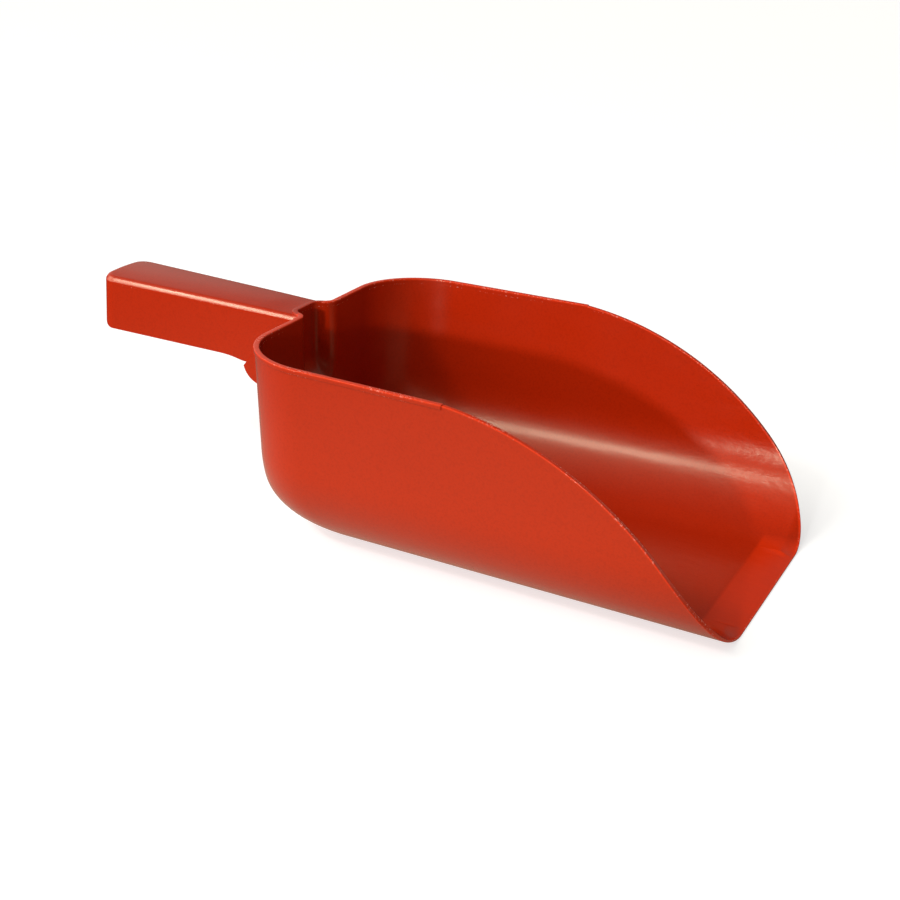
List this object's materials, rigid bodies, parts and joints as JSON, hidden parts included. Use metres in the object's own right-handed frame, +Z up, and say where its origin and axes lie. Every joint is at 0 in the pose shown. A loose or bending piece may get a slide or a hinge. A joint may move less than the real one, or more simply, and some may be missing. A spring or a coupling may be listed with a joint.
{
  "type": "feed scoop",
  "caption": "Hand feed scoop: deep tray with rounded corners, side walls arching down to a thin bevelled lip, banded rim and a straight box-section grip.",
  "frame": {"origin": "middle of the flat underside, on the rest plane", "axes": "+X from the grip towards the scooping lip, +Y to the left of the user, +Z up out of the bowl"},
  "size_m": [0.3618, 0.1824, 0.0957],
  "materials": {
    "moulding": "glossy as-moulded surface with a fine matt grain"
  },
  "bodies": {
    "root": {"bowl_shell": "moulding", "rim_band": "moulding", "lip_edge": "moulding", "neck_pocket": "moulding", "grip": "moulding", "gusset_left": "moulding", "gusset_right": "moulding"}
  },
  "joints": []
}
